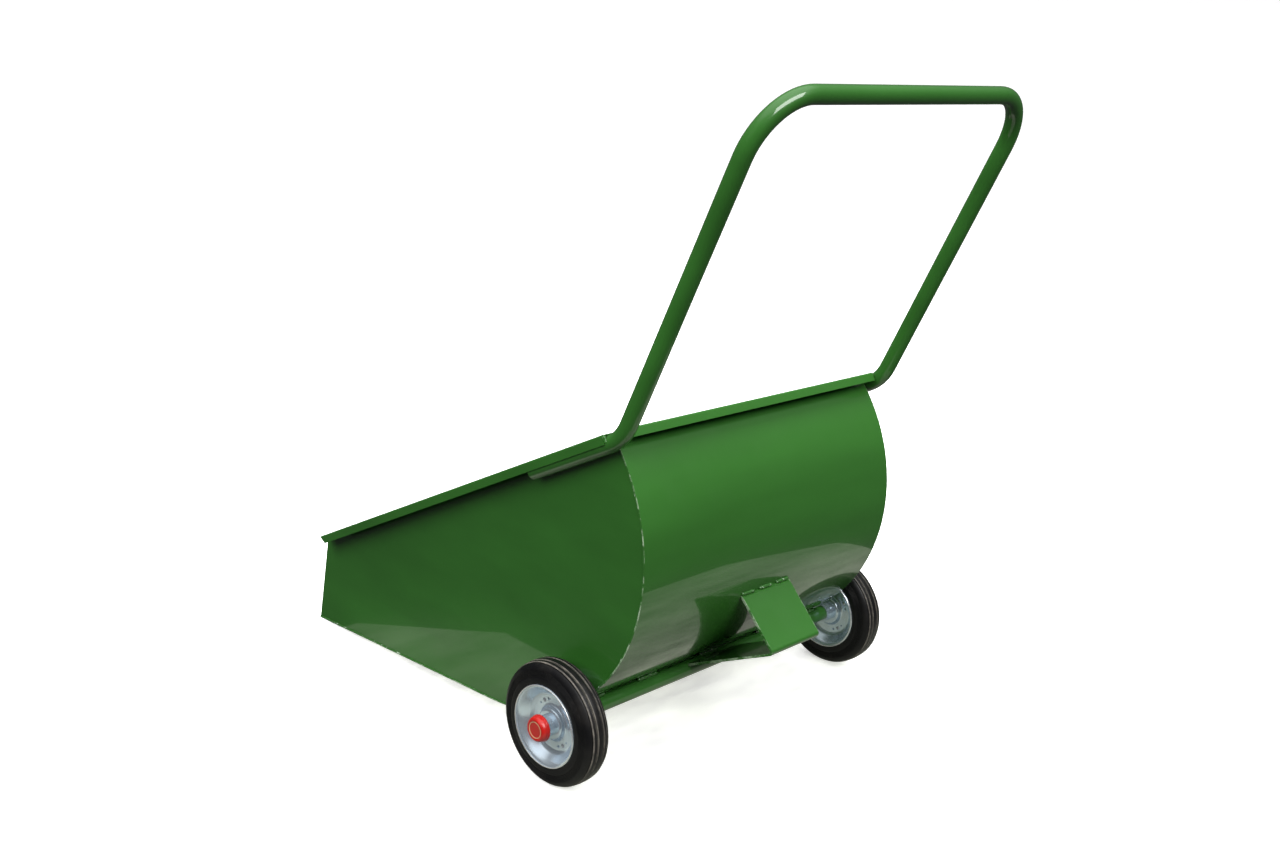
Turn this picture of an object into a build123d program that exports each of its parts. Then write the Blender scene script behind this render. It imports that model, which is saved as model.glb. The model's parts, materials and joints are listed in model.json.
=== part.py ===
from build123d import *
import math
import os

# A two-wheeled garden scoop cart.  Everything is drawn level, with the axle line at the origin, +X to
# the user's left, +Y back towards the handle and +Z up, and is tipped about the axle at the end until
# the front edge of the floor sheet stands on the ground with the wheels.

# Sheet-metal body
SHEET = 2.0                 # sheet thickness
BODY_W = 606.0              # width over the outer faces of the two side panels
SHEET_OVERHANG = 1.5        # how far the rolled sheet stands out past each side panel
FLOOR_Z = -47.0             # underside of the flat floor
FRONT_Y = -711.0            # front edge of the floor
FRONT_TOP_Y = -676.0        # front edge of a side panel, at the rim
ROLL_START_Y = -205.0       # where the floor starts to curve up
ROLL_LOWER_R = 360.0        # outer radius of the lower part of the roll
ROLL_LOWER_TURN = 44.0      # angle turned by that lower part
ROLL_UPPER_R = 300.0        # outer radius of the upper part, up to the rim
SEAM_WELD = 1.2             # size of the weld between the rolled sheet and a panel

# Folded rim.  Its shelf lies in a plane that rises towards the handle.
RIM_SLOPE = 24.5
RIM_Z = 432.7               # height of the top of the shelf, straight above the axle
SHELF_W = 31.0              # how far the shelf reaches out from the body
LIP_H = 15.0                # height of the turned-down lip, with the shelf
FOLD_R = 3.0                # outer radius of the folds
SIDE_SHELF_BACK = 80.0      # back end of the side shelf, along the rim from above the axle
SHELF_MITRE = 22.0          # how far the shelf's front corner is cut back
LIP_MITRE = 9.0             # how much further the lower corner of the lip is cut back
REAR_SHELF_W = 600.0        # length of the shelf across the back

# Handle, one bent tube
TUBE_R = 13.5               # outer radius of the handle tube and of the axle tube
TUBE_WALL = 2.6
HANDLE_X = 318.2            # middle of each leg
HANDLE_LEAN = 26.4          # backward lean of the legs, from upright
HANDLE_BEND_U = 104.0       # corner of the lower bend, along the rim from above the axle
HANDLE_FRONT = 207.0        # stretch under the shelf, from the corner of the lower bend
HANDLE_LEG = 544.0          # from the corner of the lower bend to the grip bar
LOWER_BEND_R = 75.0
GRIP_BEND_R = 90.0
HANDLE_GAP = 0.3            # between the tube and the underside of the shelf
END_PLATE_T = 2.5

# Axle and wheels
WHEEL_R = 100.0
TRACK = 700.0               # distance between the middle planes of the wheels
HUB_W = 60.0
HUB_R = 17.0
HUB_BORE_R = 14.1
SHAFT_R = 10.0
STUB_IN_TUBE = 60.0         # length of a stub axle inside the axle tube
ROLLER_R = 2.0
ROLLER_L = 44.0
ROLLER_COUNT = 12
ROLLER_CIRCLE_R = 12.05     # leaves the rollers 0.05 off the shaft and off the hub
CAGE_L = 52.0
CAGE_WALL = (10.3, 13.8)    # inner and outer radius of the roller cage
SIDE_PLAY = 0.5             # on each side of the hub
WASHER_T = 2.5
WASHER_R = 16.0
RETAINER_T = 1.2
CAP_R = 21.5                # hub cap, at its base and at its face
CAP_FACE_R = 16.5
CAP_L = 13.2
CAP_WALL = 2.0
CAP_GAP = 0.8               # between the rim of the cap and the end of the hub

# Section of a rim disc, from hub to lip: distance from the wheel's middle plane, then radius
DISC_T = 2.0
DISC_SECTION = [(14.0, 17.0), (14.0, 23.0), (12.0, 25.5), (7.0, 27.0), (5.0, 29.5), (5.0, 44.0),
                (8.0, 49.5), (20.0, 58.0), (24.0, 61.5), (25.5, 65.5)]
HUB_FLANGE_T = 6.0          # flange of the hub, between the two discs
HUB_FLANGE_R = 42.0
RIVET_R = 2.5
RIVET_HEAD_R = 4.0
RIVET_HEAD_T = 1.5
RIVET_COUNT = 4
RIVET_CIRCLE_R = 37.5
VENT_R = 1.8
VENT_TURN = 16.0            # from each rivet to the small holes beside it
WHEEL_TURN = 38.0           # how far the wheels have rolled, from one rivet straight back of the axle

# Section of one half of the tyre outside the rim, from the rim lip to the middle rib
TYRE_SECTION = [(24.6, 67.0), (25.0, 70.0), (25.0, 76.0), (24.2, 77.0), (24.2, 84.0), (23.0, 89.0),
                (20.5, 93.5), (17.5, 96.5), (14.0, 98.6), (8.0, 99.6), (7.2, 97.4), (5.4, 97.4),
                (4.6, 100.0)]
TYRE_GAP = 0.2              # between the tyre and the rim

# Foot bracket behind the axle
BRACKET_W = 120.0
BRACKET_T = 4.0
BRACKET_TOP = (118.0, 166.0)      # where the upper plate meets the rolled sheet
BRACKET_BEND = (191.0, 84.0)      # outer corner of the bend
BRACKET_BEND_R = 7.0
BRACKET_TUBE_TURN = 42.0          # where the lower plate meets the axle tube, as an angle on the tube

# Weld beads
BEAD_R = 3.0
AXLE_STITCH_X = [-270.0, -150.0, 0.0, 150.0, 270.0]
AXLE_STITCH_L = 40.0
AXLE_STITCH_TURN = 40.0           # from the line where the axle tube comes nearest to the sheet
BRACKET_TOP_BEVEL = (6.5, 2.5)    # weld bevel along its top edge: width on the face, then depth
BRACKET_BEAD = (118.8, 165.8)     # middle of the beads in that bevel
BRACKET_STITCH_X = [-43.0, 0.0, 43.0]
BRACKET_STITCH_L = 26.0
HANDLE_STITCH_U = [-55.0, 35.0]   # middles of the stitches below the tube, along the rim
HANDLE_STITCH_L = 50.0
LIP_BEAD_N = (-4.5, -12.0)        # ends of the bead at the back of each side lip, from the top of the shelf
REAR_BEAD_N = (-4.0, -11.0)       # the two short beads at each end of the rear shelf
BEAD_SINK = 0.8                   # how far a bead sinks into the corner it fills
RETAINER_TEETH = 6

OVERCUT = 60.0              # how far a cutting shape reaches past what it cuts
BLOCK = 3000.0              # side of a block larger than the whole cart

RIM_COS = math.cos(math.radians(RIM_SLOPE))
RIM_SIN = math.sin(math.radians(RIM_SLOPE))
PANEL_X = BODY_W / 2
SHEET_X = PANEL_X + SHEET_OVERHANG
LIP_X = PANEL_X + SHELF_W
TUBE_BORE_R = TUBE_R - TUBE_WALL
HUB_IN_X = TRACK / 2 - HUB_W / 2
HUB_OUT_X = TRACK / 2 + HUB_W / 2
INNER_WASHER_X = HUB_IN_X - SIDE_PLAY - WASHER_T
TUBE_END_X = INNER_WASHER_X
OUTER_WASHER_X = HUB_OUT_X + SIDE_PLAY
RETAINER_X = OUTER_WASHER_X + WASHER_T
SHAFT_END_X = RETAINER_X + 6.0
HANDLE_N = -SHEET - HANDLE_GAP - TUBE_R       # middle of the tube, below the top of the shelf

# Tilt that brings the front edge of the floor down to the ground under the wheels
REST_TILT = math.degrees(math.asin(WHEEL_R / math.hypot(FRONT_Y, FLOOR_Z))
                         - math.atan2(-FLOOR_Z, -FRONT_Y))

SIDES = {"left": 1, "right": -1}
ON_BASE = (Align.CENTER, Align.CENTER, Align.MIN)


def rim_point(u, n):
    """Point (y, z) at u along the rim from above the axle, and n above the top of its shelf."""
    return u * RIM_COS - n * RIM_SIN, RIM_Z + u * RIM_SIN + n * RIM_COS


def rim_u(y, z):
    """Distance along the rim of a point (y, z)."""
    return y * RIM_COS + (z - RIM_Z) * RIM_SIN


def along_x(outline, x_low, x_high):
    """Prism along X with a closed outline in Y and Z."""
    return Pos(x_low, 0, 0) * extrude(Plane.YZ * outline, amount=x_high - x_low, dir=(1, 0, 0))


def polygon(points):
    return make_face(Polyline(*points, close=True))


def rod(y, z, radius, x_low, x_high):
    """Round rod along X."""
    return Pos(x_low, y, z) * Rot(0, 90, 0) * Cylinder(radius, x_high - x_low, align=ON_BASE)


def tube(outer, inner, x_low, x_high):
    """Round tube about the axle line."""
    return rod(0, 0, outer, x_low, x_high) - rod(0, 0, inner, x_low - 1, x_high + 1)


def roll_centres():
    """Centres of the lower and the upper arc of the roll."""
    turn = math.radians(ROLL_LOWER_TURN)
    step = ROLL_LOWER_R - ROLL_UPPER_R
    lower = (ROLL_START_Y, FLOOR_Z + ROLL_LOWER_R)
    return lower, (lower[0] + step * math.sin(turn), lower[1] - step * math.cos(turn))


def on_arc(centre, radius, turn):
    """Point of an arc at an angle from straight down, in degrees."""
    return (centre[0] + radius * math.sin(math.radians(turn)),
            centre[1] - radius * math.cos(math.radians(turn)))


def rim_turn(inset):
    """Angle at which the upper arc, inset from the outside, reaches the top of the shelf."""
    centre = roll_centres()[1]
    depth = -centre[0] * RIM_SIN + (centre[1] - RIM_Z) * RIM_COS
    return RIM_SLOPE + math.degrees(math.acos(depth / (ROLL_UPPER_R - inset)))


def body_outline(inset, overcut=0.0):
    """Side view of the body, inset from the outside of the rolled sheet.

    The front and the rim stay where they are, or move out by the overcut.
    """
    lower, upper = roll_centres()
    lower_r = ROLL_LOWER_R - inset
    upper_r = ROLL_UPPER_R - inset
    top_turn = rim_turn(inset)
    floor = FLOOR_Z + inset
    front_slope = (FRONT_TOP_Y - FRONT_Y) / (rim_point(FRONT_TOP_Y / RIM_COS, 0)[1] - FLOOR_Z)
    front_low = (FRONT_Y + inset * front_slope - overcut, floor)
    roll_start = (ROLL_START_Y, floor)
    change = on_arc(upper, upper_r, ROLL_LOWER_TURN)
    top = on_arc(upper, upper_r, top_turn)
    front_top = (FRONT_TOP_Y - overcut, rim_point(FRONT_TOP_Y / RIM_COS, overcut)[1])
    middle = (ROLL_LOWER_TURN + top_turn) / 2
    edges = [
        Line(front_low, roll_start),
        ThreePointArc(roll_start, on_arc(lower, lower_r, ROLL_LOWER_TURN / 2), change),
        ThreePointArc(change, on_arc(upper, upper_r, middle), top),
    ]
    if overcut:
        above = (top[0], top[1] + overcut)
        edges += [Line(top, above), Line(above, front_top)]
    else:
        edges.append(Line(top, front_top))
    edges.append(Line(front_top, front_low))
    return make_face(Wire(edges))


def above_shelf(depth):
    """Block that holds everything higher than a depth below the top of the shelf."""
    plane = Plane(origin=(0, *rim_point(0, -depth)), x_dir=(1, 0, 0), z_dir=(0, -RIM_SIN, RIM_COS))
    return plane * Box(BLOCK, BLOCK, BLOCK, align=ON_BASE)


def round_edge(solid, y, z, radius):
    """Round the edge along X that lies nearest to (y, z)."""
    edge = solid.edges().filter_by(Axis.X).sort_by_distance((0, y, z))[0]
    return fillet(edge, radius)


def rolled_sheet():
    """Floor and back in one sheet, with the rim shelf and lip folded outwards along the back."""
    wall = along_x(body_outline(0) - body_outline(SHEET, overcut=OVERCUT), -SHEET_X, SHEET_X)
    wall -= above_shelf(SHEET)
    top_y, top_z = on_arc(roll_centres()[1], ROLL_UPPER_R, rim_turn(0))
    root = rim_u(top_y, top_z) - SHEET
    end = root + SHEET + SHELF_W
    shelf = polygon([rim_point(u, n) for u, n in
                     [(root, 0), (end, 0), (end, -LIP_H), (end - SHEET, -LIP_H), (end - SHEET, -SHEET),
                      (root, -SHEET)]])
    shelf = along_x(shelf, -REAR_SHELF_W / 2, REAR_SHELF_W / 2)
    shelf = round_edge(shelf, *rim_point(end, 0), FOLD_R)
    shelf = round_edge(shelf, *rim_point(end - SHEET, -SHEET), FOLD_R - SHEET)
    return wall + shelf


def side_panel(side):
    """Flat side wall, with the rim shelf and lip folded outwards along its top."""
    plate = along_x(body_outline(SHEET), PANEL_X - SHEET, PANEL_X) - above_shelf(2 * FOLD_R)
    front = FRONT_TOP_Y / RIM_COS
    section = polygon([(PANEL_X - SHEET, -2 * FOLD_R), (PANEL_X - SHEET, 0), (LIP_X, 0), (LIP_X, -LIP_H),
                       (LIP_X - SHEET, -LIP_H), (LIP_X - SHEET, -SHEET), (PANEL_X, -SHEET),
                       (PANEL_X, -2 * FOLD_R)])
    for x, n, radius in [(PANEL_X - SHEET, 0, FOLD_R), (LIP_X, 0, FOLD_R),
                         (LIP_X - SHEET, -SHEET, FOLD_R - SHEET), (PANEL_X, -SHEET, FOLD_R - SHEET)]:
        section = fillet(section.vertices().sort_by_distance((x, n, 0))[0], radius)
    back = SIDE_SHELF_BACK
    start = Plane(origin=(0, *rim_point(back, 0)), x_dir=(1, 0, 0), z_dir=(0, -RIM_COS, -RIM_SIN))
    rim = extrude(start * section, amount=back - front + SHELF_MITRE)
    flat = Plane(origin=(0, *rim_point(0, 0)), x_dir=(1, 0, 0), z_dir=(0, -RIM_SIN, RIM_COS))
    mitre = polygon([(PANEL_X - SHEET - 1, front - OVERCUT), (PANEL_X - SHEET - 1, front),
                     (PANEL_X, front), (LIP_X + 1, front + SHELF_MITRE), (LIP_X + 1, front - OVERCUT)])
    rim -= extrude(flat * mitre, amount=OVERCUT, both=True)
    lip_start = front + SHELF_MITRE
    lip_cut = polygon([rim_point(u, n) for u, n in
                       [(lip_start, -SHEET), (lip_start + LIP_MITRE, -LIP_H - 1),
                        (lip_start - OVERCUT, -LIP_H - 1), (lip_start - OVERCUT, -SHEET)]])
    rim -= along_x(lip_cut, PANEL_X + SHEET, LIP_X + 1)
    around = Rectangle(BLOCK, BLOCK) - body_outline(SHEET, overcut=OVERCUT)
    rim -= along_x(around, PANEL_X - SHEET - 1, SHEET_X) - above_shelf(SHEET)
    panel = plate + rim
    return panel if side > 0 else mirror(panel, about=Plane.YZ)


def seam_weld(side):
    """Bead in the corner between a panel's outer face and the overhang of the rolled sheet."""
    strip = body_outline(SHEET) - body_outline(SHEET + SEAM_WELD, overcut=OVERCUT)
    bead = along_x(strip, PANEL_X, PANEL_X + SEAM_WELD) - above_shelf(2 * FOLD_R)
    return bead if side > 0 else mirror(bead, about=Plane.YZ)


def handle_corners():
    """Corner points of the left half of the handle: front end, lower bend, grip bend."""
    lean = math.radians(HANDLE_LEAN)
    leg_y, leg_z = math.sin(lean), math.cos(lean)
    bend_y, bend_z = rim_point(HANDLE_BEND_U, HANDLE_N)
    front_y, front_z = rim_point(HANDLE_BEND_U - HANDLE_FRONT, HANDLE_N)
    return [(HANDLE_X, front_y, front_z), (HANDLE_X, bend_y, bend_z),
            (HANDLE_X, bend_y + HANDLE_LEG * leg_y, bend_z + HANDLE_LEG * leg_z)]


def handle_tube():
    """One tube, bent at the grip and again where its ends run forward under the side shelves."""
    half = handle_corners()
    points = half + [(-x, y, z) for x, y, z in reversed(half)]
    path = FilletPolyline(*points, radius=[LOWER_BEND_R, GRIP_BEND_R, GRIP_BEND_R, LOWER_BEND_R])
    start = Plane(origin=points[0], z_dir=(0, RIM_COS, RIM_SIN))
    return sweep(start * Circle(TUBE_R), path=path) - sweep(start * Circle(TUBE_BORE_R), path=path)


def handle_end_plate(side):
    """Plate that closes the front end of the handle tube."""
    x, y, z = handle_corners()[0]
    plate = Cylinder(TUBE_R, END_PLATE_T, align=ON_BASE)
    plate = chamfer(plate.edges().filter_by(GeomType.CIRCLE).sort_by(Axis.Z)[-1], 1.2)
    return Plane(origin=(side * x, y, z), z_dir=(0, -RIM_COS, -RIM_SIN)) * plate


def bead(start, end, radius=BEAD_R):
    """Weld bead: a round rod with domed ends."""
    start, end = Vector(*start), Vector(*end)
    length = (end - start).length
    plane = Plane(origin=start, z_dir=end - start)
    rod_part = plane * Cylinder(radius, length, align=ON_BASE)
    return rod_part + Pos(start) * Sphere(radius) + Pos(end) * Sphere(radius)


def handle_weld_beads():
    """Stitches below the tube, a bead at the back of each lip, and two at each end of the rear shelf."""
    beads = []
    stitch_x = PANEL_X + BEAD_R - 0.2
    stitch_n = HANDLE_N - math.sqrt((TUBE_R + BEAD_R - BEAD_SINK) ** 2 - (HANDLE_X - stitch_x) ** 2)
    rear_u = rim_u(*on_arc(roll_centres()[1], ROLL_UPPER_R, rim_turn(0))) + SHELF_W - 2 * BEAD_R
    for side in SIDES.values():
        for u in HANDLE_STITCH_U:
            ends = [(side * stitch_x, *rim_point(u + half, stitch_n))
                    for half in (-HANDLE_STITCH_L / 2, HANDLE_STITCH_L / 2)]
            beads.append(bead(*ends))
        lip_ends = [(side * (LIP_X - BEAD_R - 0.5), *rim_point(SIDE_SHELF_BACK + 1.5, n))
                    for n in LIP_BEAD_N]
        beads.append(bead(*lip_ends))
        for n in REAR_BEAD_N:
            rear_ends = [(side * x, *rim_point(rear_u, n))
                         for x in (REAR_SHELF_W / 2 - 1, HANDLE_X - TUBE_R + 1)]
            beads.append(bead(*rear_ends, radius=BEAD_R - 0.2))
    return Compound(beads)


def axle_tube():
    return tube(TUBE_R, TUBE_BORE_R, -TUBE_END_X, TUBE_END_X)


def axle_stub(side):
    """Round shaft with a thicker root that fills the bore of the axle tube."""
    root_x = TUBE_END_X - STUB_IN_TUBE
    shaft = rod(0, 0, SHAFT_R, root_x, SHAFT_END_X)
    shaft = chamfer(shaft.edges().filter_by(GeomType.CIRCLE).sort_by(Axis.X)[-1], 1.5)
    shaft += rod(0, 0, TUBE_BORE_R - 0.03, root_x, TUBE_END_X - 1)
    return shaft if side > 0 else mirror(shaft, about=Plane.YZ)


def axle_weld_beads():
    """Stitches between the axle tube and the rolled sheet, in front of and behind their nearest line."""
    centre = roll_centres()[0]
    nearest = math.degrees(math.atan2(centre[1], centre[0]))
    reach = TUBE_R + BEAD_R - BEAD_SINK
    beads = []
    for x in AXLE_STITCH_X:
        for turn in (-AXLE_STITCH_TURN, AXLE_STITCH_TURN):
            angle = math.radians(nearest + turn)
            y, z = reach * math.cos(angle), reach * math.sin(angle)
            beads.append(bead((x - AXLE_STITCH_L / 2, y, z), (x + AXLE_STITCH_L / 2, y, z)))
    return Compound(beads)


def foot_bracket():
    """Bent plate between the rolled sheet and the axle tube, used as a step and a rear foot."""
    turn = math.radians(BRACKET_TUBE_TURN)
    foot = (TUBE_R * math.cos(turn), TUBE_R * math.sin(turn))
    outer = [foot, BRACKET_BEND, BRACKET_TOP]
    inner = offset_line(outer, BRACKET_T)
    section = polygon(outer + inner[::-1])
    plate = along_x(section, -BRACKET_W / 2, BRACKET_W / 2)
    width, depth = BRACKET_TOP_BEVEL
    length = math.dist(BRACKET_TOP, BRACKET_BEND)
    along = [(low - top) / length for low, top in zip(BRACKET_BEND, BRACKET_TOP)]
    bevel = [(BRACKET_TOP[0] + a * along[0] - b * along[1], BRACKET_TOP[1] + a * along[1] + b * along[0])
             for a, b in ((width, 0), (-width, depth * 2), (-width, -depth * 2), (0, -depth))]
    plate -= along_x(polygon(bevel), -BRACKET_W, BRACKET_W)
    plate = round_edge(plate, *BRACKET_BEND, BRACKET_BEND_R)
    plate = round_edge(plate, *inner[1], BRACKET_BEND_R - BRACKET_T)
    body = along_x(body_outline(0), -BODY_W / 2, BODY_W / 2)
    return plate - body - rod(0, 0, TUBE_R, -BRACKET_W, BRACKET_W)


def offset_line(points, distance):
    """Open line of points moved to its left by a distance, with mitred corners."""
    moved = []
    for i, (a, b) in enumerate(points):
        normals = []
        for p, q in ((points[i - 1], points[i]) if i else (None, None),
                     (points[i], points[i + 1]) if i + 1 < len(points) else (None, None)):
            if p:
                length = math.dist(p, q)
                normals.append((-(q[1] - p[1]) / length, (q[0] - p[0]) / length))
        na = sum(n[0] for n in normals)
        nb = sum(n[1] for n in normals)
        scale = distance * len(normals) / (na * na + nb * nb)
        moved.append((a + na * scale, b + nb * scale))
    return moved


def bracket_weld_beads():
    """Stitches along the top edge of the bracket and along its foot on the axle tube."""
    turn = math.radians(BRACKET_TUBE_TURN)
    foot = ((TUBE_R + 1) * math.cos(turn), (TUBE_R + 1) * math.sin(turn))
    beads = []
    for x in BRACKET_STITCH_X:
        for y, z in (BRACKET_BEAD, foot):
            beads.append(bead((x - BRACKET_STITCH_L / 2, y, z), (x + BRACKET_STITCH_L / 2, y, z)))
    return Compound(beads)


def washer(side, x):
    ring = tube(WASHER_R, SHAFT_R + 0.1, x, x + WASHER_T)
    return ring if side > 0 else mirror(ring, about=Plane.YZ)


def push_retainer(side):
    """Toothed ring pushed on to the end of the shaft, which keeps the wheel on."""
    ring = tube(CAP_R - CAP_WALL - 0.1, SHAFT_R + 0.4, RETAINER_X, RETAINER_X + RETAINER_T)
    tooth = Box(RETAINER_T, 4, 2.4, align=(Align.MIN, Align.CENTER, Align.CENTER))
    tooth = Pos(RETAINER_X, 0, SHAFT_R + 1.2) * tooth
    ring += [Rot(360 * i / RETAINER_TEETH, 0, 0) * tooth for i in range(RETAINER_TEETH)]
    ring -= rod(0, 0, SHAFT_R + 0.02, RETAINER_X - 1, RETAINER_X + 5)
    return ring if side > 0 else mirror(ring, about=Plane.YZ)


def hub_cap(side):
    """Domed plastic cap over the end of the shaft, with a raised ring on its face."""
    outside = [(0, 0), (CAP_R, 0), (CAP_R, 4.5), (CAP_R - 0.6, 7.5), (CAP_R - 2.4, 10.8),
               (CAP_FACE_R, CAP_L), (13.0, CAP_L), (12.4, CAP_L - 0.8), (0, CAP_L - 0.8)]
    inside = [(0, -1), (CAP_R - CAP_WALL, -1), (CAP_R - CAP_WALL, 6.0), (CAP_FACE_R - 1.5, CAP_L - 3),
              (0, CAP_L - 3)]
    cap = revolve(Plane.XZ * (polygon(outside) - polygon(inside)), Axis.Z)
    cap = Pos(HUB_OUT_X + CAP_GAP, 0, 0) * Rot(0, 90, 0) * cap
    return cap if side > 0 else mirror(cap, about=Plane.YZ)


def turned(section):
    """Ring about the axle line from a section of (distance along X, radius) points."""
    return revolve(polygon(section), Axis.X)


def wheel_places(count, radius, shift=0.0):
    """Points (y, z) evenly spaced on a circle about the axle line."""
    turns = [math.radians(360 * i / count + shift + WHEEL_TURN) for i in range(count)]
    return [(radius * math.cos(t), radius * math.sin(t)) for t in turns]


def flange_holes():
    """Rivet holes and the small holes beside them, through the discs and the hub flange."""
    holes = [rod(y, z, RIVET_R, -HUB_W, HUB_W) for y, z in wheel_places(RIVET_COUNT, RIVET_CIRCLE_R)]
    for shift in (-VENT_TURN, VENT_TURN):
        holes += [rod(y, z, VENT_R, -HUB_W, HUB_W)
                  for y, z in wheel_places(RIVET_COUNT, RIVET_CIRCLE_R, shift)]
    return holes


def wheel_hub():
    """Hub tube with the flange that the rim discs are riveted to."""
    hub = tube(HUB_R, HUB_BORE_R, -HUB_W / 2, HUB_W / 2)
    hub += tube(HUB_FLANGE_R, HUB_R - 1, -HUB_FLANGE_T / 2, HUB_FLANGE_T / 2)
    return hub - flange_holes()


def rim_disc(face):
    """Pressed half of the rim; face is 1 for the half on the +X side of the wheel."""
    disc = turned(DISC_SECTION + offset_line(DISC_SECTION, DISC_T)[::-1])
    disc -= [rod(0, 0, HUB_R, 0, HUB_W)] + flange_holes()
    return disc if face > 0 else mirror(disc, about=Plane.YZ)


def tyre():
    """Solid rubber tyre that fills the channel between the two rim discs."""
    channel = offset_line(DISC_SECTION, DISC_T + TYRE_GAP)[6:9]
    half = channel + [(DISC_SECTION[-1][0] - 2.4, DISC_SECTION[-1][1] + 1.2)] + TYRE_SECTION
    section = half + [(-x, r) for x, r in reversed(half)]
    return turned(section)


def rim_rivets():
    rivets = []
    grip = HUB_FLANGE_T / 2 + DISC_T
    for y, z in wheel_places(RIVET_COUNT, RIVET_CIRCLE_R):
        rivets.append(rod(y, z, RIVET_R, -grip, grip)
                      + rod(y, z, RIVET_HEAD_R, grip, grip + RIVET_HEAD_T)
                      + rod(y, z, RIVET_HEAD_R, -grip - RIVET_HEAD_T, -grip))
    return Compound(rivets)


def bearing_rollers():
    return Compound([rod(y, z, ROLLER_R, -ROLLER_L / 2, ROLLER_L / 2)
                     for y, z in wheel_places(ROLLER_COUNT, ROLLER_CIRCLE_R)])


def roller_cage():
    """Ring with a slot for each roller."""
    ring = tube(CAGE_WALL[1], CAGE_WALL[0], -CAGE_L / 2, CAGE_L / 2)
    slots = [rod(y, z, ROLLER_R + 0.15, -ROLLER_L / 2 - 0.3, ROLLER_L / 2 + 0.3)
             for y, z in wheel_places(ROLLER_COUNT, ROLLER_CIRCLE_R)]
    return ring - slots


def wheel(name, side):
    """All pieces that turn together, by node name."""
    pieces = {
        "tyre": tyre(),
        "outer_rim_disc": rim_disc(side),
        "inner_rim_disc": rim_disc(-side),
        "wheel_hub": wheel_hub(),
        "roller_cage": roller_cage(),
        "bearing_rollers": bearing_rollers(),
        "rim_rivets": rim_rivets(),
    }
    return {f"{name}_{piece}": Pos(side * TRACK / 2, 0, 0) * shape for piece, shape in pieces.items()}


def cart():
    """Every piece of the cart, by node name, drawn level about the axle."""
    nodes = {
        "rolled_sheet": rolled_sheet(),
        "handle_tube": handle_tube(),
        "handle_weld_beads": handle_weld_beads(),
        "axle_tube": axle_tube(),
        "axle_weld_beads": axle_weld_beads(),
        "foot_bracket": foot_bracket(),
        "bracket_weld_beads": bracket_weld_beads(),
    }
    for name, side in SIDES.items():
        nodes[f"{name}_side_panel"] = side_panel(side)
        nodes[f"{name}_seam_weld"] = seam_weld(side)
        nodes[f"{name}_handle_end_plate"] = handle_end_plate(side)
        nodes[f"{name}_axle_stub"] = axle_stub(side)
        nodes[f"{name}_inner_washer"] = washer(side, INNER_WASHER_X)
        nodes[f"{name}_outer_washer"] = washer(side, OUTER_WASHER_X)
        nodes[f"{name}_push_retainer"] = push_retainer(side)
        nodes[f"{name}_hub_cap"] = hub_cap(side)
        nodes.update(wheel(name, side))
    return nodes


def rest_place():
    """Tip about the axle, then raise the axle by the wheel radius and centre the length on the origin."""
    tilt = math.radians(REST_TILT)
    front = FRONT_Y * math.cos(tilt) - FLOOR_Z * math.sin(tilt)
    _, grip_y, grip_z = handle_corners()[2]
    back = grip_y * math.cos(tilt) - grip_z * math.sin(tilt) + TUBE_R
    return Pos(0, -(front + back) / 2, WHEEL_R) * Rot(REST_TILT, 0, 0)


os.makedirs("parts", exist_ok=True)
for node, solid in cart().items():
    export_step(rest_place() * solid, f"parts/{node}.step")
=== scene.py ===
import json
import math

import bmesh
import bpy
from mathutils import Matrix, Vector, noise


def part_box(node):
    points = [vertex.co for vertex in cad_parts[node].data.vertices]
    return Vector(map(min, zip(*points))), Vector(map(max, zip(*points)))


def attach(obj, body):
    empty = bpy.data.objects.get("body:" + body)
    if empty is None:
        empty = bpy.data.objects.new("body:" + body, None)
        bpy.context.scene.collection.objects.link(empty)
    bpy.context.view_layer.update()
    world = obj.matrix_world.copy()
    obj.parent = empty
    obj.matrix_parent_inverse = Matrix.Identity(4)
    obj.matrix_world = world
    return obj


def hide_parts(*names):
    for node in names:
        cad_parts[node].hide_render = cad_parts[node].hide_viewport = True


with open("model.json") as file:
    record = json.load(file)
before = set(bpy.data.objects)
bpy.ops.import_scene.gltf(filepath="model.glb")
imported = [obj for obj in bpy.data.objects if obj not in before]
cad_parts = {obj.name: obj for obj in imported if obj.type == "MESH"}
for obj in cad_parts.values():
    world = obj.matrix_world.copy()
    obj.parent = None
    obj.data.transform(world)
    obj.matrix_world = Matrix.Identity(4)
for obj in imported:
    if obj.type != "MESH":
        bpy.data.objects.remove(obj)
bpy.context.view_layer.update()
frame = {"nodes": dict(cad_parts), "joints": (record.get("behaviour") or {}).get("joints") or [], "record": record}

scene = bpy.context.scene
nodes = frame["nodes"]
SIDES = {"left": 1.0, "right": -1.0}
MM = 0.001


# ---------------------------------------------------------------- camera, light and floor

LENS, SENSOR_W = 40.32, 36.0                   # in millimetres
CAMERA_PLACE = (1.7279, 1.6246, 1.1838)
CAMERA_FORWARD = (-0.6992, -0.6529, -0.2914)
CAMERA_RIGHT = (-0.6970, 0.7132, 0.0748)       # not quite level: the view is rolled a little


def add_camera():
    data = bpy.data.cameras.new("camera")
    data.sensor_width = SENSOR_W
    data.lens = LENS
    camera = bpy.data.objects.new("camera", data)
    forward = Vector(CAMERA_FORWARD).normalized()
    right = Vector(CAMERA_RIGHT).normalized()
    up = right.cross(forward).normalized()
    right = forward.cross(up)
    turn = Matrix((right, up, -forward)).transposed().to_4x4()
    camera.matrix_world = Matrix.Translation(CAMERA_PLACE) @ turn
    scene.collection.objects.link(camera)
    scene.camera = camera


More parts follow.
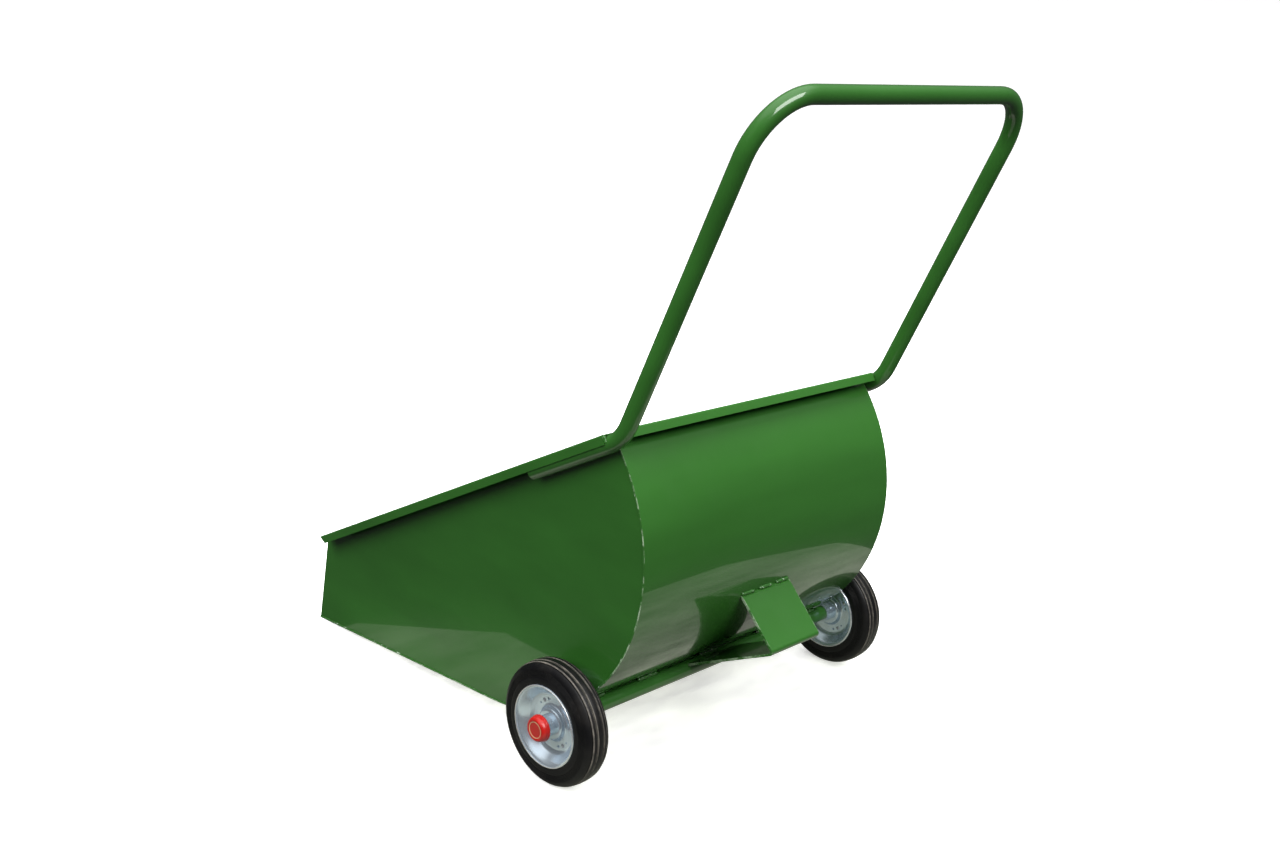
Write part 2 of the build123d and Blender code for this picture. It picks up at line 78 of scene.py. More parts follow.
def add_area(name, place, target, size, power):
    data = bpy.data.lights.new(name, "AREA")
    data.shape = "RECTANGLE"
    data.size, data.size_y = size
    data.energy = power
    lamp = bpy.data.objects.new(name, data)
    aim = (Vector(target) - Vector(place)).to_track_quat("-Z", "Y")
    lamp.matrix_world = Matrix.Translation(place) @ aim.to_matrix().to_4x4()
    scene.collection.objects.link(lamp)
    return lamp


def stage_mesh(name, points, faces, material):
    mesh = bpy.data.meshes.new(name)
    mesh.from_pydata(points, [], faces)
    mesh.materials.append(material)
    piece = bpy.data.objects.new(name, mesh)
    scene.collection.objects.link(piece)
    return piece


def pale_paint(name, colour, glow):
    material = bpy.data.materials.new(name)
    material.use_nodes = True
    shader = material.node_tree.nodes["Principled BSDF"]
    shader.inputs["Base Color"].default_value = colour
    shader.inputs["Roughness"].default_value = 0.7
    shader.inputs["Specular IOR Level"].default_value = 0.1
    shader.inputs["Emission Color"].default_value = (1.0, 1.0, 1.0, 1.0)
    shader.inputs["Emission Strength"].default_value = glow
    return material


def glowing_mat(name):
    """Pale grey-green mat that glows, in place of the light on the floor under the cart, with darker streaks in
    its glow that the paint mirrors.
    """
    s = Shader(name, (0.10, 0.10, 0.088), roughness=0.8, specular_ior_level=0.1)
    s.set("Emission Color", (0.94, 1.0, 0.80, 1.0))
    glow_streak = s.noise(5.0, 6.0, 0.65, (0.6, 1.6, 1.0))
    # painted light: the mat's glow varies in streaks, darker where the noise is low
    s.link(s.spread(glow_streak, 0.04, 0.46, 0.34, 0.64), s.bsdf.inputs["Emission Strength"])
    return s.material


def add_sky():
    """Soft hall light: pale overhead, dim below the horizon."""
    world = bpy.data.worlds.new("world")
    world.use_nodes = True
    tree = world.node_tree
    place = tree.nodes.new("ShaderNodeTexCoord")
    split = tree.nodes.new("ShaderNodeSeparateXYZ")
    ramp = tree.nodes.new("ShaderNodeValToRGB")
    tree.links.new(place.outputs["Generated"], split.inputs[0])
    tree.links.new(split.outputs["Z"], ramp.inputs["Fac"])
    tree.links.new(ramp.outputs["Color"], tree.nodes["Background"].inputs["Color"])
    ramp.color_ramp.elements[0].position = 0.0
    ramp.color_ramp.elements[0].color = (0.04, 0.04, 0.04, 1.0)
    ramp.color_ramp.elements[1].position = 1.0
    ramp.color_ramp.elements[1].color = (1.0, 1.0, 1.0, 1.0)
    for height, grey in ((0.3, 0.06), (0.65, 0.16), (0.8, 0.7)):
        ramp.color_ramp.elements.new(height).color = (grey, grey, grey, 1.0)
    tree.nodes["Background"].inputs["Strength"].default_value = 1.4
    scene.world = world


MAT_X, MAT_Y = -0.06, 0.17     # middle of the mat under the cart
MAT_W, MAT_L = 1.2, 1.2        # a square with its corners cut off
MAT_CORNER = 0.2
MAT_LIFT = 0.0003              # just clear of the floor
BACKDROP = [(0.0, 0.0), (6.0, 0.0), (7.5, 0.15), (9.0, 0.8), (10.0, 2.2), (10.5, 5.0), (10.5, 9.0)]


def add_floor():
    """A pale floor that sweeps up into a backdrop, and the pale glowing mat that the paint mirrors."""
    pale = pale_paint("floor", (0.93, 0.93, 0.93, 1.0), 0.45)
    card = glowing_mat("mat")
    steps = 96
    points = []
    for radius, height in BACKDROP:
        for i in range(steps):
            turn = 2 * math.pi * i / steps
            points.append((radius * math.cos(turn), radius * math.sin(turn), height))
    faces = []
    for j in range(len(BACKDROP) - 1):
        for i in range(steps):
            k = (i + 1) % steps
            faces.append((j * steps + i, j * steps + k, (j + 1) * steps + k, (j + 1) * steps + i))
    floor = stage_mesh("floor", points, faces, pale)
    for face in floor.data.polygons:
        face.use_smooth = True
    floor.visible_glossy = False
    floor.visible_diffuse = False
    half_w, half_l = MAT_W / 2, MAT_L / 2
    outline = []
    for sx, sy in ((1, 1), (-1, 1), (-1, -1), (1, -1)):
        corner = [(sx * half_w, sy * (half_l - MAT_CORNER)),
                  (sx * (half_w - MAT_CORNER), sy * half_l)]
        outline += corner if sx * sy > 0 else corner[::-1]
    mat = stage_mesh("floor_mat", [(MAT_X + x, MAT_Y + y, 0.0) for x, y in outline],
                     [tuple(range(len(outline)))], card)
    mat.location.z = MAT_LIFT
    mat.visible_camera = False
    mat.visible_shadow = False


def add_studio():
    """Hall light, floor and five lamps, of which the paint mirrors only the key."""
    scene.view_settings.view_transform = "Standard"
    add_sky()
    add_floor()
    add_area("key", (0.2, 3.4, 3.6), (0, 0.1, 0.3), (3.6, 2.0), 220)
    side = add_area("side", (3.6, 0.2, 2.8), (0, 0, 0.2), (2.4, 3.0), 180)
    far = add_area("far", (-3.6, 0.0, 2.6), (0, 0, 0.2), (2.4, 3.0), 90)
    front = add_area("front", (-0.8, -3.4, 3.2), (0, 0, 0.2), (3.0, 2.0), 120)
    top = add_area("top", (0.0, 0.2, 4.6), (0, 0, 0), (4.5, 4.5), 190)
    for lamp in (side, front, top, far):
        lamp.visible_glossy = False


# ---------------------------------------------------------------- materials

class Shader:
    """A Principled material, with short ways to add noise, bump and colour mixing."""

    def __init__(self, name, colour, **sockets):
        self.material = bpy.data.materials.new(name)
        self.material.use_nodes = True
        self.tree = self.material.node_tree
        self.bsdf = self.tree.nodes["Principled BSDF"]
        self.place = self.tree.nodes.new("ShaderNodeTexCoord")
        self.set("Base Color", (*colour, 1.0))
        for socket, value in sockets.items():
            self.set(socket.replace("_", " ").title().replace("Ior", "IOR"), value)

    def set(self, socket, value):
        self.bsdf.inputs[socket].default_value = value

    def node(self, kind, **values):
        made = self.tree.nodes.new(kind)
        for socket, value in values.items():
            made.inputs[socket.replace("_", " ").title()].default_value = value
        return made

    def link(self, source, target):
        self.tree.links.new(source, target)

    def noise(self, scale, detail=4.0, roughness=0.5, stretch=(1.0, 1.0, 1.0)):
        """Noise in metres of the object, from 0 to 1."""
        move = self.node("ShaderNodeMapping", scale=stretch)
        self.link(self.place.outputs["Object"], move.inputs["Vector"])
        made = self.node("ShaderNodeTexNoise", scale=scale, detail=detail, roughness=roughness)
        self.link(move.outputs["Vector"], made.inputs["Vector"])
        return made.outputs["Fac"]

    def math(self, operation, first, second=None):
        made = self.tree.nodes.new("ShaderNodeMath")
        made.operation = operation
        self.link(first, made.inputs[0])
        if second is not None:
            self.link(second, made.inputs[1])
        return made.outputs[0]

    def spread(self, source, low, high, start=0.0, stop=1.0):
        """source, moved from the range start..stop to low..high."""
        made = self.tree.nodes.new("ShaderNodeMapRange")
        ranges = {"From Min": start, "From Max": stop, "To Min": low, "To Max": high}
        for socket, value in ranges.items():
            made.inputs[socket].default_value = value
        self.link(source, made.inputs["Value"])
        return made.outputs["Result"]

    def blend(self, fac, first, second):
        """Colour between two colours or outputs."""
        made = self.tree.nodes.new("ShaderNodeMix")
        made.data_type = "RGBA"
        self.link(fac, made.inputs["Factor"])
        colours = [socket for socket in made.inputs if socket.type == "RGBA"]
        for socket, value in zip(colours, (first, second)):
            if isinstance(value, tuple):
                socket.default_value = (*value, 1.0)
            else:
                self.link(value, socket)
        return [socket for socket in made.outputs if socket.type == "RGBA"][0]

    def bump(self, height, depth, below=None):
        """Bump of a depth in metres, on top of another bump."""
        made = self.tree.nodes.new("ShaderNodeBump")
        made.inputs["Distance"].default_value = depth
        made.inputs["Strength"].default_value = 1.0
        self.link(height, made.inputs["Height"])
        if below is not None:
            self.link(below, made.inputs["Normal"])
        return made.outputs["Normal"]


SHEET_WAVE = 0.0008                # depth of the slow wave in the sheet, in metres
EDGE_WEAR_AND_HIGHLIGHT_FROM, EDGE_WEAR_AND_HIGHLIGHT_FULL = 0.0009, 0.0005      # how far inside the cut edge its wear and painted highlight start and are full


def enamel(name, colour, worn_and_highlit_edge=0.0):
    """Glossy sprayed enamel on sheet steel: orange peel, a slow wave, faint dust and scuffs.

    The last argument is the distance of a sheet's cut side edges from the middle, where the paint is paler: partly
    worn, partly a painted highlight where the edge catches light.
    """
    s = Shader(name, colour, roughness=0.35, specular_ior_level=0.2,
               coat_weight=1.0, coat_roughness=0.04, coat_ior=1.5)
    cloud = s.noise(2.6, 3.0, 0.5, (0.5, 1.0, 2.6))
    dark = tuple(c * 0.84 for c in colour)
    pale = tuple(c * 1.14 for c in colour)
    body = s.blend(s.spread(cloud, 0.0, 1.0, 0.35, 0.68), dark, pale)
    if worn_and_highlit_edge:
        split = s.node("ShaderNodeSeparateXYZ")
        s.link(s.place.outputs["Object"], split.inputs[0])
        reach = s.math("ABSOLUTE", split.outputs["X"])
        edge = s.spread(reach, 0.0, 1.0, worn_and_highlit_edge - EDGE_WEAR_AND_HIGHLIGHT_FROM, worn_and_highlit_edge - EDGE_WEAR_AND_HIGHLIGHT_FULL)
        thin = s.spread(s.noise(38.0, 5.0, 0.75), 0.0, 0.8, 0.46, 0.60)
        # painted highlight and wear: paler green along the cut side edges, broken up by noise
        body = s.blend(s.math("MULTIPLY", edge, thin), body, (0.30, 0.40, 0.27))
    s.link(body, s.bsdf.inputs["Base Color"])
    scuff = s.noise(26.0, 6.0, 0.65, (1.0, 0.35, 1.0))
    s.link(s.spread(scuff, 0.3, 0.42, 0.4, 0.72), s.bsdf.inputs["Roughness"])
    peel = s.bump(s.noise(520.0, 1.0, 0.4), 0.000004)
    wave = s.bump(s.noise(4.5, 1.0, 0.3), SHEET_WAVE, below=peel)
    s.link(wave, s.bsdf.inputs["Normal"])
    s.link(wave, s.bsdf.inputs["Coat Normal"])
    return s.material


def zinc_plate(name, colour, tint, roughness):
    """Zinc or plain metal: one colour patched with a tint of it, and a slightly uneven gloss."""
    s = Shader(name, colour, metallic=0.80, roughness=roughness)
    patch = s.noise(18.0, 2.0, 0.4)
    s.link(s.blend(s.spread(patch, 0.0, 1.0, 0.38, 0.66), colour, tint), s.bsdf.inputs["Base Color"])
    grain = s.noise(60.0, 2.0, 0.5)
    s.link(s.spread(grain, roughness * 0.9, roughness * 1.15, 0.3, 0.7), s.bsdf.inputs["Roughness"])
    return s.material


def rubber(name):
    """Black moulded rubber, a little brown and dusty in patches."""
    s = Shader(name, (0.006, 0.006, 0.006), roughness=0.45, specular_ior_level=0.22)
    dust = s.noise(26.0, 6.0, 0.65)
    s.link(s.blend(s.spread(dust, 0.0, 1.0, 0.5, 0.8), (0.004, 0.004, 0.0045), (0.013, 0.012, 0.011)),
           s.bsdf.inputs["Base Color"])
    s.link(s.spread(dust, 0.34, 0.56, 0.35, 0.75), s.bsdf.inputs["Roughness"])
    s.link(s.bump(s.noise(700.0, 3.0, 0.6), 0.00004), s.bsdf.inputs["Normal"])
    return s.material


def worn_rubber(name):
    """The ribs of the tread, where dust and wear grey the rubber."""
    s = Shader(name, (0.05, 0.047, 0.043), roughness=0.62, specular_ior_level=0.3)
    dust = s.noise(60.0, 6.0, 0.7)
    s.link(s.blend(s.spread(dust, 0.0, 1.0, 0.35, 0.7), (0.035, 0.033, 0.030), (0.16, 0.145, 0.125)),
           s.bsdf.inputs["Base Color"])
    s.link(s.bump(s.noise(500.0, 4.0, 0.6), 0.00008), s.bsdf.inputs["Normal"])
    return s.material


def moulded(name, colour, roughness):
    """Moulded plastic with a faint texture and slight unevenness in its colour."""
    s = Shader(name, colour, roughness=roughness, coat_weight=0.3, coat_roughness=0.08)
    cloud = s.noise(90.0, 3.0, 0.5)
    dark = tuple(c * 0.86 for c in colour)
    s.link(s.blend(s.spread(cloud, 0.0, 1.0, 0.35, 0.7), dark, colour), s.bsdf.inputs["Base Color"])
    s.link(s.spread(cloud, roughness * 0.8, roughness * 1.3, 0.3, 0.7), s.bsdf.inputs["Roughness"])
    s.link(s.bump(s.noise(900.0, 2.0, 0.5), 0.00003), s.bsdf.inputs["Normal"])
    return s.material


# ---------------------------------------------------------------- mesh helpers

def add_piece(name, mesh, materials, body, stands_for=(), bend=35.0):
    """Link a mesh as a piece of the object, shaded smooth where it bends less than an angle."""
    for material in materials:
        mesh.materials.append(material)
    for face in mesh.polygons:
        face.use_smooth = True
    mesh.set_sharp_from_angle(angle=math.radians(bend))
    piece = bpy.data.objects.new(name, mesh)
    scene.collection.objects.link(piece)
    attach(piece, body)
    if stands_for:
        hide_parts(*stands_for)
    return piece


def rounded(points, radius, steps=5):
    """Line of points with each corner between its ends turned into a small curve."""
    line = [points[0]]
    for before, corner, after in zip(points, points[1:], points[2:]):
        before, corner, after = Vector(before), Vector(corner), Vector(after)
        back = min(radius, (before - corner).length * 0.48)
        ahead = min(radius, (after - corner).length * 0.48)
        start = corner + (before - corner).normalized() * back
        stop = corner + (after - corner).normalized() * ahead
        for i in range(steps + 1):
            t = i / steps
            line.append(tuple((1 - t) ** 2 * start + 2 * t * (1 - t) * corner + t * t * stop))
    line.append(points[-1])
    return line


def shifted(points, distance):
    """Line of (x, r) points moved to its left by a distance."""
    moved = []
    for i, point in enumerate(points):
        before = Vector(points[max(i - 1, 0)])
        after = Vector(points[min(i + 1, len(points) - 1)])
        along = (after - before).normalized()
        moved.append((point[0] - along.y * distance, point[1] + along.x * distance))
    return moved


def turned_mesh(name, profile, axle, face=1.0, steps=160, paint_band=None):
    """Closed ring about the X line through axle, from a closed (x, r) profile in millimetres.

    face is -1 for the mirror image. The second material covers what paint_band picks.
    """
    mesh = bpy.data.meshes.new(name)
    bm = bmesh.new()
    rings = []
    for i in range(steps):
        turn = 2 * math.pi * i / steps
        rings.append([bm.verts.new((axle.x + face * x * MM, axle.y + r * MM * math.cos(turn),
                                    axle.z + r * MM * math.sin(turn))) for x, r in profile])
    count = len(profile)
    for i in range(steps):
        here, there = rings[i], rings[(i + 1) % steps]
        for j in range(count):
            k = (j + 1) % count
            quad = bm.faces.new((here[j], here[k], there[k], there[j]))
            if paint_band and paint_band(*[(a + b) / 2 for a, b in zip(profile[j], profile[k])]):
                quad.material_index = 1
    bmesh.ops.recalc_face_normals(bm, faces=bm.faces)
    bm.to_mesh(mesh)
    bm.free()
    return mesh


def wheel_centre(side):
    low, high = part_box(f"{side}_tyre")
    return (low + high) / 2


# ---------------------------------------------------------------- wheels

# Sections are (x, r) points in millimetres: x from the middle of the wheel, r from its axle.
DISC_FLAT_X = 5.0                  # outer face of the disc's flat ring
DISC = [(14.0, 17.05), (14.0, 23.0), (12.0, 25.5), (7.0, 27.0), (DISC_FLAT_X, 29.5),
        (DISC_FLAT_X, 44.0), (8.0, 49.5), (20.0, 58.0), (24.0, 61.5), (25.4, 65.4)]
DISC_T = 1.9                       # thickness of the pressed sheet
LIP = [(25.9, 65.6), (25.4, 66.0), (24.6, 65.8)]
CURL_X, CURL_R, CURL_RADIUS = 26.3, 64.8, 0.9      # middle and radius of the disc's curled edge
TYRE_SEAT = [(18.3, 59.6), (21.2, 62.0), (23.0, 64.0)]
RING_START, RING_STOP, RING_PITCH = 77.4, 88.0, 1.9        # moulded rings on the sidewall
WORN_R = 97.5                      # the tread's ribs are worn above this radius,
RIB_EDGES = ((12.7, 14.8), (7.2, 8.3), (4.5, 5.4))         # between these distances from the middle
WHEEL_TURN = 38.0                  # turn of the first rivet at rest, in degrees
RIVET_R = 37.5                     # circle of the rivets and holes
RIVETS = 4                         # evenly spaced
RIVET_HEAD_R, RIVET_FLATNESS = 3.4, 0.42
HOLES = ((-16.0, 2.3), (16.0, 1.6), (-21.0, 0.9))      # (degrees from each rivet, radius)


def tyre_profile():
    """Half of the tyre's section: sidewall with moulded rings, shoulder, groove and middle rib."""
    side = [(24.4, 65.6), (24.9, 68.0), (25.0, 71.0), (25.0, 75.5), (24.6, 76.0), (24.3, 76.6)]
    ring = RING_START
    while ring < RING_STOP:
        face = 24.3 - (ring - 77.0) * 0.09
        side += [(face, ring), (face - 0.8, ring + 0.3),
                 (face - 0.8, ring + 0.8), (face - 0.1, ring + 1.1)]
        ring += RING_PITCH
    shoulder = [(22.6, 90.4), (21.4, 92.8), (19.6, 95.0), (17.6, 96.8), (16.2, 97.5),
                (15.8, 96.2), (14.9, 96.2), (14.5, 98.3), (12.6, 99.2), (8.4, 99.7),
                (7.4, 99.4), (7.0, 97.2), (5.6, 97.2), (5.2, 99.6), (4.4, 100.0)]
    return rounded(side + shoulder, 0.5, 3)


def on_worn_rib(x, r):
    return any(low < abs(x) < high for low, high in RIB_EDGES) and r > WORN_R


def add_tyre(side):
    """Solid tyre, one ring from its seat in the rim to the tread."""
    half = TYRE_SEAT + tyre_profile()
    profile = half + [(-x, r) for x, r in reversed(half)]
    mesh = turned_mesh(f"{side}_tyre_moulded", profile, wheel_centre(side), steps=192,
                       paint_band=on_worn_rib)
    add_piece(f"{side}_tyre_moulded", mesh, [black_rubber, tread_rubber], f"{side}_wheel",
              [f"{side}_tyre"], 28.0)


def on_rivet_circle(axle, degrees, x=0.0):
    """Place on the circle of rivets and holes, x metres out from the middle of the wheel."""
    turn = math.radians(degrees + WHEEL_TURN)
    return Vector((axle.x + x, axle.y + RIVET_R * MM * math.cos(turn),
                   axle.z + RIVET_R * MM * math.sin(turn)))


def cut_holes(mesh, axle):
    """Cut the small round holes of a rim disc right through."""
    cutter = bpy.data.meshes.new("holes")
    bm = bmesh.new()
    for rivet in range(RIVETS):
        for shift, radius in HOLES:
            place = on_rivet_circle(axle, 360 // RIVETS * rivet + shift)
            move = Matrix.Translation(place) @ Matrix.Rotation(math.pi / 2, 4, "Y")
            bmesh.ops.create_cone(bm, cap_ends=True, segments=20, radius1=radius * MM,
                                  radius2=radius * MM, depth=0.04, matrix=move)
    bm.to_mesh(cutter)
    bm.free()
    tool = bpy.data.objects.new("holes", cutter)
    body = bpy.data.objects.new("disc", mesh)
    scene.collection.objects.link(tool)
    scene.collection.objects.link(body)
    cut = body.modifiers.new("holes", "BOOLEAN")
    cut.object = tool
    cut.solver = "EXACT"
    bpy.context.view_layer.update()
    done = bpy.data.meshes.new_from_object(body.evaluated_get(bpy.context.evaluated_depsgraph_get()))
    bpy.data.objects.remove(tool)
    bpy.data.objects.remove(body)
    return done


def add_rim(side):
    """Two pressed discs with holes, the curl along each one's edge, and their rivets' heads."""
    axle = wheel_centre(side)
    out = SIDES[side]
    outside = rounded(DISC, 2.2, 5)
    inside = shifted(outside, DISC_T)
    profile = outside + LIP + inside[::-1]
    for where, face in (("outer", out), ("inner", -out)):
        name = f"{side}_{where}_rim_pressing"
        mesh = cut_holes(turned_mesh(name + "_ring", profile, axle, face), axle)
        mesh.name = name
        add_piece(name, mesh, [bright_zinc], f"{side}_wheel",
                  [f"{side}_{where}_rim_disc"], 32.0)
    curl = [(CURL_X + CURL_RADIUS * math.cos(t), CURL_R + CURL_RADIUS * math.sin(t))
            for t in (2 * math.pi * i / 14 for i in range(14))]
    for where, face in (("outer", out), ("inner", -out)):
        name = f"{side}_{where}_rim_curl"
        # paler zinc here: a painted highlight along the rolled edge
        add_piece(name, turned_mesh(name, curl, axle, face), [curl_highlight_zinc], f"{side}_wheel",
                  [], 40.0)
    mesh = bpy.data.meshes.new(f"{side}_rivet_heads")
    bm = bmesh.new()
    flat = Matrix.Diagonal((RIVET_FLATNESS, 1.0, 1.0, 1.0))
    for rivet in range(RIVETS):
        for face in (1, -1):
            place = on_rivet_circle(axle, 360 // RIVETS * rivet, face * DISC_FLAT_X * MM)
            bmesh.ops.create_uvsphere(bm, u_segments=24, v_segments=12, radius=RIVET_HEAD_R * MM,
                                      matrix=Matrix.Translation(place) @ flat)
    bm.to_mesh(mesh)
    bm.free()
    add_piece(f"{side}_rivet_heads", mesh, [dull_zinc], f"{side}_wheel",
              [f"{side}_rim_rivets"])


# The cap's x is from its open end.
CAP_OUTSIDE = [(0.0, 19.6), (0.0, 21.45), (3.2, 21.45), (3.7, 20.7), (4.3, 20.7), (7.5, 20.4),
               (10.8, 18.9), (12.8, 17.0), (13.15, 15.8), (13.15, 14.6), (12.5, 13.9), (12.2, 11.0),
               (12.3, 0.02)]
CAP_INSIDE = [(10.2, 0.02), (10.2, 15.0), (6.0, 19.6)]
CAP_RING = [(12.1, 12.1), (12.75, 12.3), (12.85, 12.7), (12.75, 13.1), (12.1, 13.3)]


def add_cap(side):
    """Red cap with a stepped skirt, a rounded edge, a dished face and a thin pale ring on it."""
    low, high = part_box(f"{side}_hub_cap")
    centre = (low + high) / 2
    out = SIDES[side]
    base = Vector((low.x if out > 0 else high.x, centre.y, centre.z))
    profile = rounded(CAP_OUTSIDE, 0.9, 4) + CAP_INSIDE
    mesh = turned_mesh(f"{side}_cap_moulded", profile, base, out, 96)
    add_piece(f"{side}_cap_moulded", mesh, [red_plastic], "cart",
              [f"{side}_hub_cap"], 30.0)
    mesh = turned_mesh(f"{side}_cap_ring", CAP_RING, base, out, 96)
    add_piece(f"{side}_cap_ring", mesh, [cream_print], "cart")


# ---------------------------------------------------------------- weld beads

# These repeat the CAD's driving dimensions, in millimetres and degrees, drawn level about the axle.
TILT = math.radians(4.2856)        # the cart then tips this far to rest on its front edge
SHEET = 2.0
FLOOR_Z, FRONT_Y, ROLL_START_Y = -47.0, -711.0, -205.0
LOWER_R, UPPER_R = 360.0, 300.0
LOWER_TURN, RIM_TURN = 44.0, 129.5
LOWER_CENTRE = (ROLL_START_Y, FLOOR_Z + LOWER_R)
UPPER_CENTRE = (LOWER_CENTRE[0] + (LOWER_R - UPPER_R) * math.sin(math.radians(LOWER_TURN)),
                LOWER_CENTRE[1] - (LOWER_R - UPPER_R) * math.cos(math.radians(LOWER_TURN)))

SEAM_STEP = 2.0                    # between the rings of a seam bead
STITCH_PITCH = 85.0                # between its heavier stitches
ROD_STEP, RIPPLE_PITCH = 0.45, 1.8         # the same for the beads laid in place of plain rods
FILLET_REACH = 13.9                # from the axle line to the paint in the hair gap beside the tube


def placed(x, y, z):
    """Point drawn level about the axle, in millimetres, at its place in the row frame."""
    axle = frame["joints"][0]["pos_m"]
    return Vector((x * MM, axle[1] + (y * math.cos(TILT) - z * math.sin(TILT)) * MM,
                   axle[2] + (y * math.sin(TILT) + z * math.cos(TILT)) * MM))


def seam_line():
    """Points (y, z) a step apart along the inside of the rolled sheet, from its front to the rim."""
    line = []
    y = FRONT_Y + 0.4
    while y < ROLL_START_Y:
        line.append((y, FLOOR_Z + SHEET))
        y += SEAM_STEP
    for (cy, cz), radius, start, stop in ((LOWER_CENTRE, LOWER_R - SHEET, 0.0, LOWER_TURN),
                                          (UPPER_CENTRE, UPPER_R - SHEET, LOWER_TURN, RIM_TURN)):
        turn = start
        while turn < stop:
            line.append((cy + radius * math.sin(math.radians(turn)),
                         cz - radius * math.cos(math.radians(turn))))
            turn += math.degrees(SEAM_STEP / radius)
    return line


def bead_mesh(bm, points, radius_at, sides=12):
    """Closed lumpy rod along points; radius_at gives its radius in metres at each index."""
    rings = []
    for i, point in enumerate(points):
        along = (points[min(i + 1, len(points) - 1)] - points[max(i - 1, 0)]).normalized()
        across = along.cross(Vector((0.31, 0.17, 0.93))).normalized()
        other = along.cross(across)
        radius = radius_at(i)
        rings.append([bm.verts.new(point + (across * math.cos(2 * math.pi * j / sides)
                                            + other * math.sin(2 * math.pi * j / sides)) * radius)
                      for j in range(sides)])
    for here, there in zip(rings, rings[1:]):
        for j in range(sides):
            k = (j + 1) % sides
            bm.faces.new((here[j], here[k], there[k], there[j]))
    bm.faces.new(rings[0][::-1])
    bm.faces.new(rings[-1])


def loose_rods(node):
    """(start, end, radius) of each round-ended rod in a CAD node."""
    bm = bmesh.new()
    bm.from_mesh(nodes[node].data)
    bmesh.ops.remove_doubles(bm, verts=bm.verts, dist=1e-6)
    left = set(bm.verts)
    rods = []
    while left:
        first = left.pop()
        part, edge = [first], [first]
        while edge:
            vert = edge.pop()
            for link in vert.link_edges:
                other = link.other_vert(vert)
                if other in left:
                    left.discard(other)
                    part.append(other)
                    edge.append(other)
        centre = sum((v.co for v in part), Vector()) / len(part)
        far = max(part, key=lambda v: (v.co - centre).length).co.copy()
        axis = (far - centre).normalized()
        reach = [(v.co - centre).dot(axis) for v in part]
        radius = max(((v.co - centre) - axis * (v.co - centre).dot(axis)).length for v in part)
        rods.append((centre + axis * min(reach), centre + axis * max(reach), radius))
    bm.free()
    return rods


def add_rod_welds(node, name):
    """Hand-laid beads in place of plain rods, with ripples, an uneven width and tapered ends."""
    mesh = bpy.data.meshes.new(name)
    bm = bmesh.new()
    for start, stop, radius in loose_rods(node):
        length = (stop - start).length
        count = max(8, int(length / (ROD_STEP * MM)))
        points = []
        for i in range(count + 1):
            point = start.lerp(stop, i / count)
            points.append(point + noise.noise_vector(point * 160) * 0.0004)

        def radius_at(i):
            end = min(i, count - i) * length / count
            taper = math.sqrt(min(1.0, (end + 0.0001) / (radius * 0.9)))
            ripple = 1.0 + 0.07 * abs(math.sin(math.pi * i * length / count / (RIPPLE_PITCH * MM)))
            width = 0.86 + 0.16 * noise.noise(points[i] * 90)
            return radius * taper * ripple * width

        bead_mesh(bm, points, radius_at)
    bm.to_mesh(mesh)
    bm.free()
    add_piece(name, mesh, [weld_paint], "cart", [node], 60.0)


def add_axle_fillet():
    """Paint that bridges the hair gap where the axle tube comes nearest to the rolled sheet."""
    nearest = math.atan2(LOWER_CENTRE[1], LOWER_CENTRE[0])
    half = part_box("rolled_sheet")[1].x / MM - 2.0
    count = 120
    across, up = FILLET_REACH * math.cos(nearest), FILLET_REACH * math.sin(nearest)
    points = [placed(half * (2 * i / count - 1), across, up) for i in range(count + 1)]
    mesh = bpy.data.meshes.new("axle_paint_fillet")
    bm = bmesh.new()
    bead_mesh(bm, points, lambda i: (1.1 + 0.15 * noise.noise(points[i] * 40)) * MM, 8)
    bm.to_mesh(mesh)
    bm.free()
    add_piece("axle_paint_fillet", mesh, [paint], "cart", [], 60.0)


def add_seam_weld(side):
    """Thin uneven bead in the corner between panel and rolled sheet, with heavier stitches."""
    mesh = bpy.data.meshes.new(f"{side}_seam_bead")
    low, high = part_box(f"{side}_seam_weld")
    x = (low.x if SIDES[side] > 0 else high.x) / MM + SIDES[side] * 0.35
    line = [placed(x, y, z) for y, z in seam_line()]
    bm = bmesh.new()

    def radius_at(i):
        stitch = max(0.0, math.sin(2 * math.pi * i * SEAM_STEP / STITCH_PITCH) - 0.35)
        lump = abs(noise.noise(line[i] * 210)) + 0.6 * abs(noise.noise(line[i] * 60))
        return (0.75 + 0.9 * stitch * (0.5 + lump) + 0.55 * lump) * MM

    bead_mesh(bm, line, radius_at, 10)
    bm.to_mesh(mesh)
    bm.free()
    add_piece(f"{side}_seam_bead", mesh, [weld_paint], "cart",
              [f"{side}_seam_weld"], 70.0)


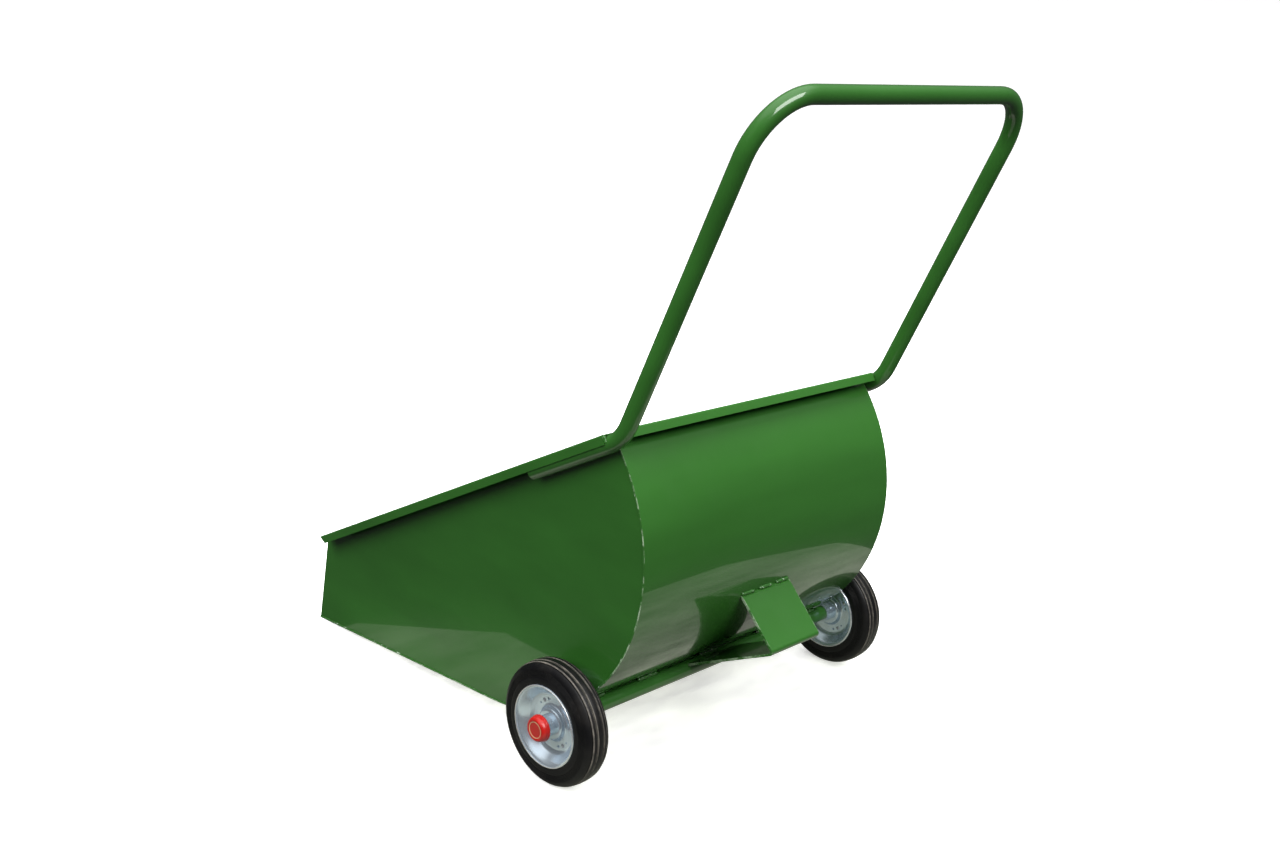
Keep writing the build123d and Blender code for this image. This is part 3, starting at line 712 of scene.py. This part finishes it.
def chipped_glinting_enamel(name, colour):
    """The same enamel over weld, with pale spots on its high spots: partly bright metal knocked through, partly a
    painted glint.
    """
    s = Shader(name, colour, roughness=0.3, specular_ior_level=0.3,
               coat_weight=0.8, coat_roughness=0.08)
    chips_and_glints = s.spread(s.noise(130.0, 3.0, 0.6), 0.0, 1.0, 0.62, 0.67)
    # painted glint and bare metal: pale spots where the noise is high
    s.link(s.blend(chips_and_glints, colour, (0.34, 0.42, 0.33)), s.bsdf.inputs["Base Color"])
    s.link(s.spread(chips_and_glints, 0.3, 0.5), s.bsdf.inputs["Roughness"])
    s.link(s.bump(s.noise(420.0, 3.0, 0.6), 0.00012), s.bsdf.inputs["Normal"])
    return s.material


# ---------------------------------------------------------------- the cart

SHEET_GREEN = (0.024, 0.108, 0.015)
paint = enamel("green_enamel", (0.022, 0.100, 0.014))
# These two carry the paler cut edges: a painted highlight where the edge catches light, and some wear.
bracket_paint = enamel("green_enamel_bracket", SHEET_GREEN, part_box("foot_bracket")[1].x)
sheet_paint = enamel("green_enamel_sheet", SHEET_GREEN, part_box("rolled_sheet")[1].x)
weld_paint = chipped_glinting_enamel("weld_enamel", (0.024, 0.106, 0.016))
bright_zinc = zinc_plate("bright_zinc", (0.70, 0.80, 0.88), (0.60, 0.71, 0.81), 0.20)
# a paler copy of the zinc for the curls: a painted highlight on the rolled edge
curl_highlight_zinc = zinc_plate("curl_highlight_zinc", (0.90, 0.90, 0.88), (0.80, 0.82, 0.83), 0.3)
dull_zinc = zinc_plate("dull_zinc", (0.55, 0.58, 0.62), (0.42, 0.45, 0.50), 0.3)
turned_steel = zinc_plate("turned_steel", (0.50, 0.50, 0.51), (0.40, 0.40, 0.41), 0.28)
black_rubber = rubber("black_rubber")
tread_rubber = worn_rubber("tread_rubber")
red_plastic = moulded("red_plastic", (0.40, 0.006, 0.004), 0.34)
cream_print = moulded("cream_print", (0.60, 0.46, 0.26), 0.4)
nylon = moulded("white_nylon", (0.72, 0.70, 0.64), 0.45)
finishes = {
    "green_enamel": paint, "zinc_plate": bright_zinc, "bare_steel": turned_steel,
    "black_rubber": black_rubber, "red_plastic": red_plastic, "white_nylon": nylon,
}
own_finish = {"rolled_sheet": sheet_paint, "foot_bracket": bracket_paint}   # in place of the slot's
for part in frame["record"]["subparts"]:
    mesh = nodes[part["node"]].data
    mesh.materials.clear()
    mesh.materials.append(own_finish.get(part["node"], finishes[part["material_slot"]]))
for weld in ("handle", "axle", "bracket"):
    add_rod_welds(f"{weld}_weld_beads", f"{weld}_welds_laid")
add_axle_fillet()
for side in SIDES:
    add_seam_weld(side)
    add_tyre(side)
    add_rim(side)
    add_cap(side)

add_camera()
add_studio()
